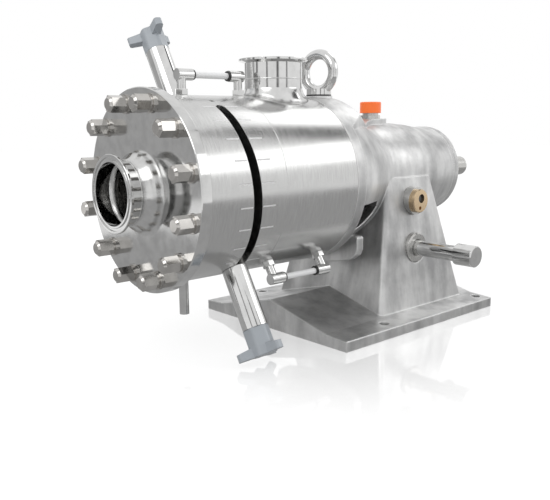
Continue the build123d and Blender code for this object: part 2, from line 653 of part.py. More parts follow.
# Rear casing: product chamber, screwed spigot, rear wall with the seal seat
with BuildPart() as rear_casing:
    with BuildSketch(SIDE):
        with BuildLine():
            Polyline(
                (CAVITY_REAR + 0.3, GUIDE_R), (CAVITY_REAR + 0.3, CHAMBER_R - 0.15),
                (SEAM, CHAMBER_R - 0.15), (SEAM, CASE_R - 0.6), (SEAM + 0.6, CASE_R),
                (CASE_END, CASE_R), (CASE_END, GLAND_BORE_R), (REAR_WALL, GLAND_BORE_R),
                (REAR_WALL, CHAMBER_R), (CHAMBER_FRONT, CHAMBER_R), (CHAMBER_FRONT, GUIDE_R),
                close=True)
        make_face()
    revolve(axis=SHAFT_LINE)
    # Outlet opening in the top
    with BuildSketch(facing_out(90.0, OUTLET_S, CHAMBER_R - 20.0)):
        Circle(OUTLET_HOLE_R)
    extrude(amount=50.0, mode=Mode.SUBTRACT)
    # Flush ports: one behind the top line, two for the lower line
    for line_angle, station in ((FLUSH_LINES[0][0], FLUSH_LINES[0][2]), FLUSH_LINES[1][:2],
                                FLUSH_LINES[1][::2]):
        with BuildSketch(facing_out(line_angle, station, CHAMBER_R - 2)):
            Circle(PORT_R)
        extrude(amount=20.0, mode=Mode.SUBTRACT)
    # Seat of the guide key, and tapped holes for the flange and gland screws
    with BuildSketch(facing_out(KEY_ANGLE, KEY_S, GUIDE_R - 2.0)):
        Circle(KEY_R + 0.1)
    extrude(amount=10.0, mode=Mode.SUBTRACT)
    with BuildSketch(facing_front(CASE_END)):
        with PolarLocations(FLANGE_SCREW_R, FLANGE_SCREWS, start_angle=FLANGE_SCREW_AT):
            Circle(FLANGE_SCREW_SIZE + 0.1)
    extrude(amount=10.5, mode=Mode.SUBTRACT)
    with BuildSketch(facing_front(CASE_END)):
        with PolarLocations(GLAND_SCREW_R, GLAND_SCREWS, start_angle=45):
            Circle(SCREW_M5_R + 0.1)
    extrude(amount=10.5, mode=Mode.SUBTRACT)
save(rear_casing.part, "rear_casing")

# Outlet: welded tube on a saddle, clamp ferrule on top
OUTLET_WELD = 134.0
with BuildPart() as outlet_neck:
    with BuildSketch(facing_side(0.0, OUTLET_S, SHAFT_H)):
        with BuildLine():
            Polyline(
                (BORE_R, 90.0), (48.5, 90.0), (47.0, 106.0), (43.0, 111.5), (40.0, 116.0),
                (38.6, 121.0), (TUBE_R, 126.0), (TUBE_R, OUTLET_WELD), (BORE_R, OUTLET_WELD),
                close=True)
        make_face()
    revolve(axis=OUTLET_LINE)
    with BuildSketch(facing_front(OUTLET_S - 70.0)):
        Circle(CASE_R)
    extrude(amount=-140.0, mode=Mode.SUBTRACT)
save(outlet_neck.part, "outlet_neck")

with BuildPart() as outlet_ferrule:
    with BuildSketch(facing_side(0.0, OUTLET_S, SHAFT_H)):
        with BuildLine():
            Polyline(
                (BORE_R, OUTLET_WELD), (TUBE_R, OUTLET_WELD),
                (TUBE_R, OUTLET_TOP - RIM_T - RIM_TAPER), (RIM_R, OUTLET_TOP - RIM_T),
                (RIM_R, OUTLET_TOP - 0.6), (RIM_R - 0.6, OUTLET_TOP),
                (GASKET_R + GASKET_W / 2, OUTLET_TOP),
                (GASKET_R + GASKET_W / 2, OUTLET_TOP - GASKET_D),
                (GASKET_R - GASKET_W / 2, OUTLET_TOP - GASKET_D),
                (GASKET_R - GASKET_W / 2, OUTLET_TOP), (BORE_R, OUTLET_TOP), close=True)
        make_face()
    revolve(axis=OUTLET_LINE)
save(outlet_ferrule.part, "outlet_ferrule")

# Mechanical seal: gland and fixed face on the casing, spring and turning face on the shaft
SEAL_BORE_R = JOURNAL_R + SHAFT_GAP
with BuildPart() as seal_gland:
    with BuildSketch(SIDE):
        with BuildLine():
            Polyline(
                (GLAND_FRONT, GLAND_SEAT_R), (GLAND_FRONT, GLAND_BORE_R - 0.15),
                (CASE_END, GLAND_BORE_R - 0.15), (CASE_END, GLAND_FLANGE_R),
                (GLAND_REAR, GLAND_FLANGE_R), (GLAND_REAR, 24.0), (SEAT_REAR, 24.0),
                (SEAT_REAR, GLAND_SEAT_R), close=True)
        make_face()
    revolve(axis=SHAFT_LINE)
    with BuildSketch(facing_front(GLAND_REAR)):
        with PolarLocations(GLAND_SCREW_R, GLAND_SCREWS, start_angle=45):
            Circle(SCREW_M5_R + 0.2)
    extrude(amount=GLAND_REAR - CASE_END, mode=Mode.SUBTRACT)
save(seal_gland.part, "seal_gland")
save(turned((
    (SEAL_FACE, 21.0), (SEAL_FACE, 28.0), (GLAND_FRONT, 28.0), (GLAND_FRONT, GLAND_SEAT_R - 0.15),
    (SEAT_REAR, GLAND_SEAT_R - 0.15), (SEAT_REAR, 21.0),
)), "seal_fixed_face")
save(turned((
    (226.0, SEAL_BORE_R), (226.0, 28.0), (SEAL_FACE - 0.1, 28.0), (SEAL_FACE - 0.1, SEAL_BORE_R),
)), "seal_turning_face")
save(turned((
    (203.0, SEAL_BORE_R), (203.0, 29.0), (211.0, 29.0), (211.0, SEAL_BORE_R),
)), "seal_drive_collar")
with BuildPart() as seal_spring:
    for coil in range(5):
        with BuildSketch(SIDE):
            with Locations((212.9 + 2.8 * coil, 24.5)):
                Rectangle(1.9, 3.6)
        revolve(axis=SHAFT_LINE)
    with BuildSketch(SIDE):
        with Locations((218.5, 22.0)):
            Rectangle(15.0, 1.4)
    revolve(axis=SHAFT_LINE)
save(seal_spring.part, "seal_spring")
with BuildPart() as gland_screws:
    with BuildSketch(facing_front(GLAND_REAR)):
        with PolarLocations(GLAND_SCREW_R, GLAND_SCREWS, start_angle=45):
            Circle(SCREW_M5_R)
    extrude(amount=GLAND_REAR - CASE_END + 9.5)
    with BuildSketch(facing_front(GLAND_REAR)):
        with PolarLocations(GLAND_SCREW_R, GLAND_SCREWS, start_angle=45):
            Circle(4.2)
    extrude(amount=-5.0)
save(gland_screws.part, "gland_screws")

# Bearing frame: flange, bell, hood, bearing barrel, pedestal and foot in one casting
FLANGE_R = 112.0
BARREL_FRONT = 360.0
BARREL_CHAMBER_R = 56.0
BELL = ((FLANGE_END, 108.0), (288.0, 104.0), (305.0, 98.0), (320.0, 92.0), (335.0, 85.0),
        (352.0, 78.0), (370.0, BARREL_R))
BELL_INSIDE = ((FLANGE_END, 93.0), (288.0, 88.0), (305.0, 83.0), (320.0, 78.0), (335.0, 71.0),
               (348.0, 61.0), (BARREL_FRONT, 61.0))
BARREL = ((440.0, BARREL_R), (470.0, 72.8), (495.0, 69.4), (508.0, 68.2),
          (BARREL_END - 4.0, 68.2), (BARREL_END - 3.0, COVER_REAR_R), (BARREL_END, COVER_REAR_R))
HOOD_START = FLANGE_END - 4.0
HOOD_END = 388.0
HOOD_TOP = ((HOOD_START, FLANGE_R), (300.0, FLANGE_R), (318.0, 101.0), (335.0, 90.0),
            (350.0, 83.0), (HOOD_END, PAD_TOP))
HOOD_PLAN = ((HOOD_START, 86.0), (290.0, 76.0), (320.0, 58.0), (350.0, 38.0), (375.0, 22.0),
             (HOOD_END, PAD_W / 2))
HOOD_BASE = 62.0
WINDOW = ((FLANGE_END, -31.0), (322.0, -29.0), (326.0, -38.0), (318.0, -47.0), (300.0, -57.0),
          (282.0, -64.0), (FLANGE_END, -66.0))
# Drip lip under the bell: its edge from side to side, and the stations of its two faces
LIP_EDGE = ((83.0, -76.0), (83.0, -95.0), (79.0, -103.0), (67.0, -111.0), (31.0, -118.0),
            (0.0, -121.0), (-31.0, -118.0), (-67.0, -111.0), (-79.0, -103.0), (-83.0, -95.0),
            (-83.0, -76.0))
LIP_INSIDE_R = 97.0
LIP_SPAN = (284.0, 296.0)

with BuildPart() as hood:
    with BuildSketch(SIDE):
        with BuildLine():
            Polyline((HOOD_START, 0), *HOOD_TOP, (HOOD_END, 0), close=True)
        make_face()
    revolve(axis=SHAFT_LINE)
    with BuildSketch(FLOOR.offset(SHAFT_H + HOOD_BASE)):
        with BuildLine():
            right_side = Spline(*[(half, station) for station, half in HOOD_PLAN])
            left_side = Spline(*[(-half, station) for station, half in HOOD_PLAN])
            Line(right_side @ 0, left_side @ 0)
            Line(right_side @ 1, left_side @ 1)
        make_face()
    extrude(amount=EYE_Z - HOOD_BASE, mode=Mode.INTERSECT)

with BuildPart() as drip_lip:
    with BuildSketch(facing_front(LIP_SPAN[0])):
        with BuildLine():
            Polyline(*LIP_EDGE, close=True)
        make_face()
        Circle(LIP_INSIDE_R, mode=Mode.SUBTRACT)
    extrude(amount=LIP_SPAN[0] - LIP_SPAN[1])
    fillet(drip_lip.edges().filter_by(Axis.Y).sort_by(Axis.Z)[:-2], 4.0)

with BuildPart() as pedestal:
    for level, (half, front, rear) in ((PED_BASE_Z, PED_BASE), (PED_TOP_Z, PED_TOP)):
        with BuildSketch(FLOOR.offset(level)):
            with Locations((0, (front + rear) / 2)):
                Rectangle(2 * half, rear - front)
    loft()
    fillet(pedestal.edges().filter_by(lambda edge: abs(edge.tangent_at(0.5).Z) > 0.5), 7.0)

with BuildPart() as bearing_frame:
    add(pedestal.part)
    with BuildSketch(facing_front(FOOT_FRONT)):
        with BuildLine():
            Polyline(
                (-FOOT_X, -SHAFT_H), (FOOT_X, -SHAFT_H), (FOOT_X, FOOT_EDGE - SHAFT_H),
                (FOOT_RIB_X, FOOT_RIB_Z - SHAFT_H), (0, RIDGE_H - SHAFT_H),
                (-FOOT_RIB_X, FOOT_RIB_Z - SHAFT_H), (-FOOT_X, FOOT_EDGE - SHAFT_H), close=True)
        make_face()
    extrude(amount=FOOT_FRONT - FOOT_REAR)
    with BuildSketch(SIDE):
        with BuildLine():
            Polyline((CASE_END, 0), (CASE_END, FLANGE_R), (FLANGE_END, FLANGE_R), *BELL, *BARREL,
                     (BARREL_END, 0), close=True)
        make_face()
    revolve(axis=SHAFT_LINE)
    add(hood.part)
    add(drip_lip.part)
    with BuildSketch(FLOOR.offset(SHAFT_H + HOOD_BASE)):
        with Locations((0, PAD_S)):
            Rectangle(PAD_W, PAD_W)
    extrude(amount=PAD_TOP - HOOD_BASE)
    with BuildSketch(FLOOR.offset(SHAFT_H + 100.0)):
        with Locations((0, EYE_S)):
            Circle(19.0)
    extrude(amount=EYE_Z - 100.0)
    # Bell cavity, bearing bores and the chamber between the bearings
    with BuildSketch(SIDE):
        with BuildLine():
            Polyline(
                (CASE_END, 0), (CASE_END, GLAND_FLANGE_R + 0.3),
                (FLANGE_END, GLAND_FLANGE_R + 0.3), *BELL_INSIDE, (BARREL_FRONT, BEARING_R),
                (SHOULDER_FRONT, BEARING_R), (SHOULDER_FRONT, BARREL_CHAMBER_R),
                (BEARING_REAR_S, BARREL_CHAMBER_R), (BEARING_REAR_S, BEARING_R),
                (BARREL_END, BEARING_R), (BARREL_END, 0), close=True)
        make_face()
    revolve(axis=SHAFT_LINE, mode=Mode.SUBTRACT)
    # Lantern windows, open on both sides
    with BuildSketch(SIDE):
        with BuildLine():
            Polyline(*WINDOW, close=True)
        make_face()
    extrude(amount=FOOT_X, both=True, mode=Mode.SUBTRACT)
    # Oil sump and the hollow underside of the foot
    for level, (half, front, rear) in ((46.0, SUMP_BASE), (190.0, SUMP_TOP)):
        with BuildSketch(FLOOR.offset(level)):
            with Locations((0, (front + rear) / 2)):
                Rectangle(2 * half, rear - front)
    loft(mode=Mode.SUBTRACT)
    with BuildSketch(facing_front(FOOT_FRONT + FRAME_WALL)):
        with BuildLine():
            Polyline((-FOOT_CORE_X, -SHAFT_H), (FOOT_CORE_X, -SHAFT_H),
                     (FOOT_CORE_X, 4.0 - SHAFT_H), (0, RIDGE_H - 12.0 - SHAFT_H),
                     (-FOOT_CORE_X, 4.0 - SHAFT_H), close=True)
        make_face()
    extrude(amount=FOOT_FRONT - FOOT_REAR + 2 * FRAME_WALL, mode=Mode.SUBTRACT)
    # Foot bolt holes
    with BuildSketch(FLOOR):
        with Locations(*[(x, station) for x in (-BOLT_X, BOLT_X)
                         for station in (BOLT_FRONT, BOLT_REAR)]):
            Circle(BOLT_HOLE_R)
    extrude(amount=30.0, mode=Mode.SUBTRACT)
    # Breather, eye, sight glass and oil drain holes
    with BuildSketch(FLOOR.offset(SHAFT_H + PAD_TOP)):
        with Locations((0, PAD_S)):
            Circle(BREATHER_R + 0.15)
    extrude(amount=-(PAD_TOP - BARREL_CHAMBER_R + 4.0), mode=Mode.SUBTRACT)
    with BuildSketch(FLOOR.offset(SHAFT_H + EYE_Z)):
        with Locations((0, EYE_S)):
            Circle(EYE_SHANK_R + 0.15)
    extrude(amount=-EYE_SHANK_L - 0.5, mode=Mode.SUBTRACT)
    for seat_x, station, height, seat_r, hole_r in (
            (SIGHT_X, SIGHT_S, SIGHT_Z, SIGHT_BOSS_R, SIGHT_HOLE_R),
            (DRAIN_X, DRAIN_S, DRAIN_Z, DRAIN_RING_R, DRAIN_PIPE_R)):
        with BuildSketch(facing_side(seat_x, station, height)):
            Circle(seat_r + 0.3)
        extrude(amount=40.0, mode=Mode.SUBTRACT)
        with BuildSketch(facing_side(seat_x, station, height)):
            Circle(hole_r + 0.15)
        extrude(amount=-30.0, mode=Mode.SUBTRACT)
    # Holes for the flange screws, the bearing cover screws and the rear cover bolts
    with BuildSketch(facing_front(CASE_END)):
        with PolarLocations(FLANGE_SCREW_R, FLANGE_SCREWS, start_angle=FLANGE_SCREW_AT):
            Circle(FLANGE_SCREW_SIZE + 0.4)
    extrude(amount=CASE_END - FLANGE_END, mode=Mode.SUBTRACT)
    with BuildSketch(facing_front(BARREL_FRONT)):
        with PolarLocations(COVER_SCREW_R, 4):
            Circle(SCREW_M5_R + 0.1)
    extrude(amount=-14.5, mode=Mode.SUBTRACT)
    with BuildSketch(facing_front(BARREL_END)):
        with PolarLocations(REAR_BOLT_R, REAR_BOLTS):
            Circle(FLANGE_SCREW_SIZE + 0.1)
    extrude(amount=18.5, mode=Mode.SUBTRACT)
save(bearing_frame.part, "bearing_frame")

with BuildPart() as flange_screws:
    with BuildSketch(facing_front(FLANGE_END)):
        with PolarLocations(FLANGE_SCREW_R, FLANGE_SCREWS, start_angle=FLANGE_SCREW_AT):
            Circle(6.5)
    extrude(amount=-8.0)
    with BuildSketch(facing_front(FLANGE_END)):
        with PolarLocations(FLANGE_SCREW_R, FLANGE_SCREWS, start_angle=FLANGE_SCREW_AT):
            Circle(FLANGE_SCREW_SIZE)
    extrude(amount=FLANGE_END - CASE_END + 10.0)
    with BuildSketch(facing_front(FLANGE_END + 8.0)):
        with PolarLocations(FLANGE_SCREW_R, FLANGE_SCREWS, start_angle=FLANGE_SCREW_AT):
            RegularPolygon(3.0, 6, major_radius=False)
    extrude(amount=4.0, mode=Mode.SUBTRACT)
save(flange_screws.part, "flange_screws")

# Bearings: both sets, ring by ring
BALL_PITCH_R = 32.5
BALL_R = 7.5
GROOVE_R = 7.8
BALL_COUNT = 8
BEARING_STARTS = (BEARING_FRONT_S, BEARING_REAR_S)
with BuildPart() as bearing_outer_rings:
    for start in BEARING_STARTS:
        with BuildSketch(SIDE):
            with Locations((start + BEARING_W / 2, (BEARING_R - 0.1 + 38.0) / 2)):
                Rectangle(BEARING_W - 0.2, BEARING_R - 0.1 - 38.0)
            with Locations((start + BEARING_W / 2, BALL_PITCH_R)):
                Circle(GROOVE_R, mode=Mode.SUBTRACT)
        revolve(axis=SHAFT_LINE)
save(bearing_outer_rings.part, "bearing_outer_rings")

with BuildPart() as bearing_inner_rings:
    for start in BEARING_STARTS:
        with BuildSketch(SIDE):
            with Locations((start + BEARING_W / 2, (JOURNAL_R + 0.1 + 27.0) / 2)):
                Rectangle(BEARING_W, 27.0 - JOURNAL_R - 0.1)
            with Locations((start + BEARING_W / 2, BALL_PITCH_R)):
                Circle(GROOVE_R, mode=Mode.SUBTRACT)
        revolve(axis=SHAFT_LINE)
save(bearing_inner_rings.part, "bearing_inner_rings")

with BuildPart() as bearing_balls:
    for start in BEARING_STARTS:
        with Locations(facing_front(start + BEARING_W / 2)):
            with PolarLocations(BALL_PITCH_R, BALL_COUNT):
                Sphere(BALL_R)
save(bearing_balls.part, "bearing_balls")

# Bearing covers, shaft seals and locknut
COVER_FRONT = 350.0
LIP_FRONT = 351.0
LIP_W = 8.0
LIP_R = 30.0
with BuildPart() as front_bearing_cover:
    with BuildSketch(SIDE):
        with BuildLine():
            Polyline(
                (COVER_FRONT, LIP_R), (COVER_FRONT, 58.0), (BARREL_FRONT, 58.0),
                (BARREL_FRONT, BEARING_R - 0.15), (BEARING_FRONT_S, BEARING_R - 0.15),
                (BEARING_FRONT_S, 38.0), (BARREL_FRONT + 2.0, 38.0), (BARREL_FRONT + 2.0, 22.0),
                (LIP_FRONT + LIP_W, 22.0), (LIP_FRONT + LIP_W, LIP_R), close=True)
        make_face()
    revolve(axis=SHAFT_LINE)
    with BuildSketch(facing_front(COVER_FRONT)):
        with PolarLocations(COVER_SCREW_R, 4):
            Circle(SCREW_M5_R + 0.2)
    extrude(amount=COVER_FRONT - BARREL_FRONT, mode=Mode.SUBTRACT)
save(front_bearing_cover.part, "front_bearing_cover")

with BuildPart() as bearing_cover_screws:
    with BuildSketch(facing_front(COVER_FRONT)):
        with PolarLocations(COVER_SCREW_R, 4):
            Circle(4.2)
    extrude(amount=5.0)
    with BuildSketch(facing_front(COVER_FRONT)):
        with PolarLocations(COVER_SCREW_R, 4):
            Circle(SCREW_M5_R)
    extrude(amount=COVER_FRONT - BARREL_FRONT - 14.0)
save(bearing_cover_screws.part, "bearing_cover_screws")

with BuildPart() as rear_bearing_cover:
    with BuildSketch(SIDE):
        with BuildLine():
            Polyline(
                (BEARING_REAR_S + BEARING_W, 38.0), (BEARING_REAR_S + BEARING_W, BEARING_R - 0.15),
                (BARREL_END, BEARING_R - 0.15), (BARREL_END, COVER_REAR_R),
                (COVER_END - 2.0, COVER_REAR_R), (COVER_END, COVER_REAR_R - 2.0),
                (COVER_END, 22.0), (COVER_END - 1.5, 22.0), (COVER_END - 1.5, 28.0),
                (COVER_END - 9.5, 28.0), (COVER_END - 9.5, 31.0), (BARREL_END + 3.0, 31.0),
                (BARREL_END + 3.0, 38.0), close=True)
        make_face()
    revolve(axis=SHAFT_LINE)
    with BuildSketch(facing_front(COVER_END)):
        with PolarLocations(REAR_BOLT_R, REAR_BOLTS):
            Circle(FLANGE_SCREW_SIZE + 0.4)
    extrude(amount=COVER_END - BARREL_END, mode=Mode.SUBTRACT)
save(rear_bearing_cover.part, "rear_bearing_cover")

with BuildPart() as rear_cover_bolts:
    with BuildSketch(facing_front(COVER_END)):
        with PolarLocations(REAR_BOLT_R, REAR_BOLTS):
            RegularPolygon(6.5, 6, major_radius=False)
    extrude(amount=-5.3)
    with BuildSketch(facing_front(COVER_END)):
        with PolarLocations(REAR_BOLT_R, REAR_BOLTS):
            Circle(FLANGE_SCREW_SIZE)
    extrude(amount=COVER_END - BARREL_END + 18.0)
save(rear_cover_bolts.part, "rear_cover_bolts")

with BuildPart() as shaft_lip_seals:
    for outer_end, inner_end, seal_r in (
            (LIP_FRONT, LIP_FRONT + LIP_W, LIP_R - 0.15), (COVER_END - 1.5, COVER_END - 9.5, 27.85)):
        with BuildSketch(SIDE):
            with BuildLine():
                Polyline((outer_end, 21.0), (outer_end, seal_r), (inner_end, seal_r),
                         (inner_end, 22.5), ((outer_end + inner_end) / 2, JOURNAL_R + 0.08),
                         close=True)
            make_face()
        revolve(axis=SHAFT_LINE)
save(shaft_lip_seals.part, "shaft_lip_seals")
NUT_REAR_S = BEARING_REAR_S + BEARING_W
with BuildPart() as bearing_locknut:
    with BuildSketch(facing_front(NUT_REAR_S)):
        Circle(28.0)
        Circle(JOURNAL_R + 0.1, mode=Mode.SUBTRACT)
        with PolarLocations(28.0, 4):
            Rectangle(4.0, 6.0, mode=Mode.SUBTRACT)
    extrude(amount=-8.0)
save(bearing_locknut.part, "bearing_locknut")
save(turned((
    (300.0, JOURNAL_R + 0.1), (300.0, 28.0), (304.0, 44.0), (306.0, 44.0), (308.0, 28.0),
    (314.0, 28.0), (314.0, JOURNAL_R + 0.1),
)), "shaft_flinger")

# Lifting eye and its gasket
EYE_GASKET_T = 2.0
with BuildPart() as eye_gasket:
    with BuildSketch(FLOOR.offset(SHAFT_H + EYE_Z)):
        with Locations((0, EYE_S)):
            Circle(17.5)
            Circle(EYE_SHANK_R + 0.4, mode=Mode.SUBTRACT)
    extrude(amount=EYE_GASKET_T)
save(eye_gasket.part, "eye_gasket")

EYE_BASE = SHAFT_H + EYE_Z + EYE_GASKET_T
with BuildPart() as lifting_eye:
    with BuildSketch(FLOOR.offset(EYE_BASE - EYE_GASKET_T - EYE_SHANK_L)):
        with Locations((0, EYE_S)):
            Circle(EYE_SHANK_R)
    extrude(amount=EYE_GASKET_T + EYE_SHANK_L)
    with BuildSketch(FLOOR.offset(EYE_BASE)):
        with Locations((0, EYE_S)):
            Circle(17.5)
    extrude(amount=8.0)
    with Locations(Location((0, FRONT_Y + EYE_S, EYE_BASE + 30.5), (90, 8, 0))):
        Torus(24.5, 7.0)
save(lifting_eye.part, "lifting_eye")

# Breather: stem on the pad and its orange cap
with BuildPart() as breather_stem:
    with BuildSketch(FLOOR.offset(SHAFT_H + PAD_TOP)):
        with Locations((0, PAD_S)):
            RegularPolygon(13.5, 6, major_radius=False)
    extrude(amount=5.0)
    with BuildSketch(FLOOR.offset(SHAFT_H + PAD_TOP + 5.0)):
        with Locations((0, PAD_S)):
            Circle(12.0)
    extrude(amount=3.2)
    with BuildSketch(FLOOR.offset(SHAFT_H + PAD_TOP - 14.0)):
        with Locations((0, PAD_S)):
            Circle(BREATHER_R)
    extrude(amount=30.0)
    with BuildSketch(FLOOR.offset(SHAFT_H + PAD_TOP - 14.0)):
        with Locations((0, PAD_S)):
            Circle(5.0)
    extrude(amount=30.0, mode=Mode.SUBTRACT)
save(breather_stem.part, "breather_stem")

with BuildPart() as breather_cap:
    with BuildSketch(FLOOR.offset(SHAFT_H + PAD_TOP + 8.3)):
        with Locations((0, PAD_S)):
            RegularPolygon(CAP_R, 20)
    extrude(amount=CAP_H)
    chamfer(breather_cap.faces().sort_by(Axis.Z)[-1].edges(), 1.2)
    with BuildSketch(FLOOR.offset(SHAFT_H + PAD_TOP + 8.3)):
        with Locations((0, PAD_S)):
            Circle(BREATHER_R + 0.3)
    extrude(amount=9.0, mode=Mode.SUBTRACT)
save(breather_cap.part, "breather_cap")

# Oil sight glass: steel ring, brass body and lens
with BuildPart() as sight_glass_ring:
    with BuildSketch(facing_side(SIGHT_X, SIGHT_S, SIGHT_Z)):
        Circle(SIGHT_BOSS_R)
        Circle(SIGHT_HOLE_R + 0.3, mode=Mode.SUBTRACT)
    extrude(amount=SIGHT_BOSS_T)
save(sight_glass_ring.part, "sight_glass_ring")
SIGHT_FRONT_X = SIGHT_X + SIGHT_BOSS_T
with BuildPart() as sight_glass_body:
    with BuildSketch(facing_side(SIGHT_X - 8.0, SIGHT_S, SIGHT_Z)):
        Circle(SIGHT_HOLE_R)
    extrude(amount=SIGHT_BOSS_T + 8.0)
    with BuildSketch(facing_side(SIGHT_FRONT_X, SIGHT_S, SIGHT_Z)):
        Circle(17.0)
    extrude(amount=7.0)
    chamfer(sight_glass_body.faces().sort_by(Axis.X)[-1].edges(), 1.2)
    with BuildSketch(facing_side(SIGHT_FRONT_X + 7.0, SIGHT_S, SIGHT_Z)):
        with Locations((1.0, 3.5)):
            Circle(6.5)
        with Locations((-1.5, -10.0)):
            Circle(2.6)
    extrude(amount=-5.0, mode=Mode.SUBTRACT)
    with BuildSketch(facing_side(SIGHT_FRONT_X + 7.0, SIGHT_S, SIGHT_Z)):
        with Locations((1.0, 3.5)):
            Circle(4.5)
    extrude(amount=-40.0, mode=Mode.SUBTRACT)
save(sight_glass_body.part, "sight_glass_body")
with BuildPart() as sight_glass_lens:
    with BuildSketch(facing_side(SIGHT_FRONT_X + 2.0, SIGHT_S, SIGHT_Z)):
        with Locations((1.0, 3.5)):
            Circle(6.35)
    extrude(amount=2.0)
save(sight_glass_lens.part, "sight_glass_lens")

# Oil drain: seat ring, pipe and cap
DRAIN_RING_X = DRAIN_X + 9.0
with BuildPart() as oil_drain_ring:
    with BuildSketch(facing_side(DRAIN_X, DRAIN_S, DRAIN_Z)):
        Circle(DRAIN_RING_R)
        Circle(DRAIN_PIPE_R + 0.2, mode=Mode.SUBTRACT)
    extrude(amount=DRAIN_RING_X - DRAIN_X)
    chamfer(oil_drain_ring.faces().sort_by(Axis.X)[-1].edges(), 2.0)
save(oil_drain_ring.part, "oil_drain_ring")
with BuildPart() as oil_drain_pipe:
    with BuildSketch(facing_side(DRAIN_X - 12.0, DRAIN_S, DRAIN_Z)):
        Circle(DRAIN_PIPE_R)
        Circle(8.0, mode=Mode.SUBTRACT)
    extrude(amount=DRAIN_PIPE_END - DRAIN_X + 12.0)
save(oil_drain_pipe.part, "oil_drain_pipe")
with BuildPart() as oil_drain_cap:
    with BuildSketch(facing_side(DRAIN_CAP_X, DRAIN_S, DRAIN_Z)):
        Circle(15.0)
    extrude(amount=DRAIN_CAP_END - DRAIN_CAP_X)
    chamfer(oil_drain_cap.faces().sort_by(Axis.X)[-1].edges(), 1.5)
    with BuildSketch(facing_side(DRAIN_CAP_X, DRAIN_S, DRAIN_Z)):
        Circle(DRAIN_PIPE_R + 0.3)
    extrude(amount=DRAIN_PIPE_END - DRAIN_CAP_X + 0.3, mode=Mode.SUBTRACT)
save(oil_drain_cap.part, "oil_drain_cap")

# Flush lines: elbows, collets and hoses
ELBOW_STEM_R = 5.5
ELBOW_BODY_R = 7.0
ELBOW_REACH = 15.0
with BuildPart() as flush_elbows:
    for line_angle, first, last in FLUSH_LINES:
        for station, way in ((first, 1.0), (last, -1.0)):
            with BuildSketch(facing_out(line_angle, station, 100.0)):
                Circle(PORT_R - 0.15)
            extrude(amount=15.0)
            with BuildSketch(facing_out(line_angle, station, CASE_R + 0.1)):
                RegularPolygon(7.0, 6, major_radius=False)
            extrude(amount=7.0)
            with BuildSketch(facing_out(line_angle, station, CASE_R + 5.0)):
                Circle(ELBOW_STEM_R)
            extrude(amount=HOSE_LINE_R - CASE_R - 5.0)
            along = facing_out(line_angle, station - 6.5 * way, HOSE_LINE_R)
            mouth = Plane(origin=along.origin, x_dir=along.z_dir, z_dir=(0, way, 0))
            with BuildSketch(mouth):
                Circle(ELBOW_BODY_R)
            extrude(amount=ELBOW_REACH + 6.5)
            with BuildSketch(mouth.offset(6.5)):
                Circle(HOSE_R + 0.2)
            extrude(amount=ELBOW_REACH + 1.0, mode=Mode.SUBTRACT)
save(flush_elbows.part, "flush_elbows")

with BuildPart() as elbow_collets:
    for line_angle, first, last in FLUSH_LINES:
        for station, way in ((first, 1.0), (last, -1.0)):
            along = facing_out(line_angle, station + ELBOW_REACH * way, HOSE_LINE_R)
            with BuildSketch(Plane(origin=along.origin, x_dir=along.z_dir, z_dir=(0, way, 0))):
                Circle(6.2)
                Circle(HOSE_R + 0.2, mode=Mode.SUBTRACT)
            extrude(amount=2.4)
save(elbow_collets.part, "elbow_collets")

with BuildPart() as flush_hoses:
    for line_angle, first, last in FLUSH_LINES:
        start = facing_out(line_angle, first + 3.0, HOSE_LINE_R)
        with BuildSketch(Plane(origin=start.origin, x_dir=start.z_dir, z_dir=(0, 1, 0))):
            Circle(HOSE_R)
            Circle(HOSE_R - 1.2, mode=Mode.SUBTRACT)
        extrude(amount=last - first - 6.0)
save(flush_hoses.part, "flush_hoses")

# Drain tube under the adjuster cavity; its thinner end sits in the housing wall
with BuildPart() as drain_tube:
    with BuildSketch(facing_out(-90.0, DRAIN_TUBE_S, CHAMBER_R + 2.0)):
        Circle(DRAIN_SPIGOT_R)
    extrude(amount=DRAIN_TUBE_START - CHAMBER_R - 2.0)
    with BuildSketch(facing_out(-90.0, DRAIN_TUBE_S, DRAIN_TUBE_START)):
        Circle(DRAIN_TUBE_R)
    extrude(amount=DRAIN_TUBE_END - DRAIN_TUBE_START)
    with BuildSketch(facing_out(-90.0, DRAIN_TUBE_S, CHAMBER_R + 2.0)):
        Circle(DRAIN_BORE_R)
    extrude(amount=DRAIN_TUBE_END - CHAMBER_R - 2.0, mode=Mode.SUBTRACT)
save(drain_tube.part, "drain_tube")
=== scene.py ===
"""Looks of the colloid mixer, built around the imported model. Metres, in the row frame."""

import json
import math

import bpy
from mathutils import Matrix, Vector


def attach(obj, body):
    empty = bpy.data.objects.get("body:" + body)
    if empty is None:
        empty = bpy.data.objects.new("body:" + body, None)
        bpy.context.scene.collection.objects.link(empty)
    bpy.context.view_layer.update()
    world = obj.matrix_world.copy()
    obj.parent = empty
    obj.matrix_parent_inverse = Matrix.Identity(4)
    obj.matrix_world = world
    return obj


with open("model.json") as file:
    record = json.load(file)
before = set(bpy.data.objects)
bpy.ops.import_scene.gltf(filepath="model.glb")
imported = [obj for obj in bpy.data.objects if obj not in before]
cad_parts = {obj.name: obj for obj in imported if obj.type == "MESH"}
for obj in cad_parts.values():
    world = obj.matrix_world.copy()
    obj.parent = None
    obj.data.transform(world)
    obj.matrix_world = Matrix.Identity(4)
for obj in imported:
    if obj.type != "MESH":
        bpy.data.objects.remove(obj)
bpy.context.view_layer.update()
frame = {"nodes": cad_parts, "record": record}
nodes = frame["nodes"]
scene = bpy.context.scene
scene.view_settings.view_transform = "Standard"

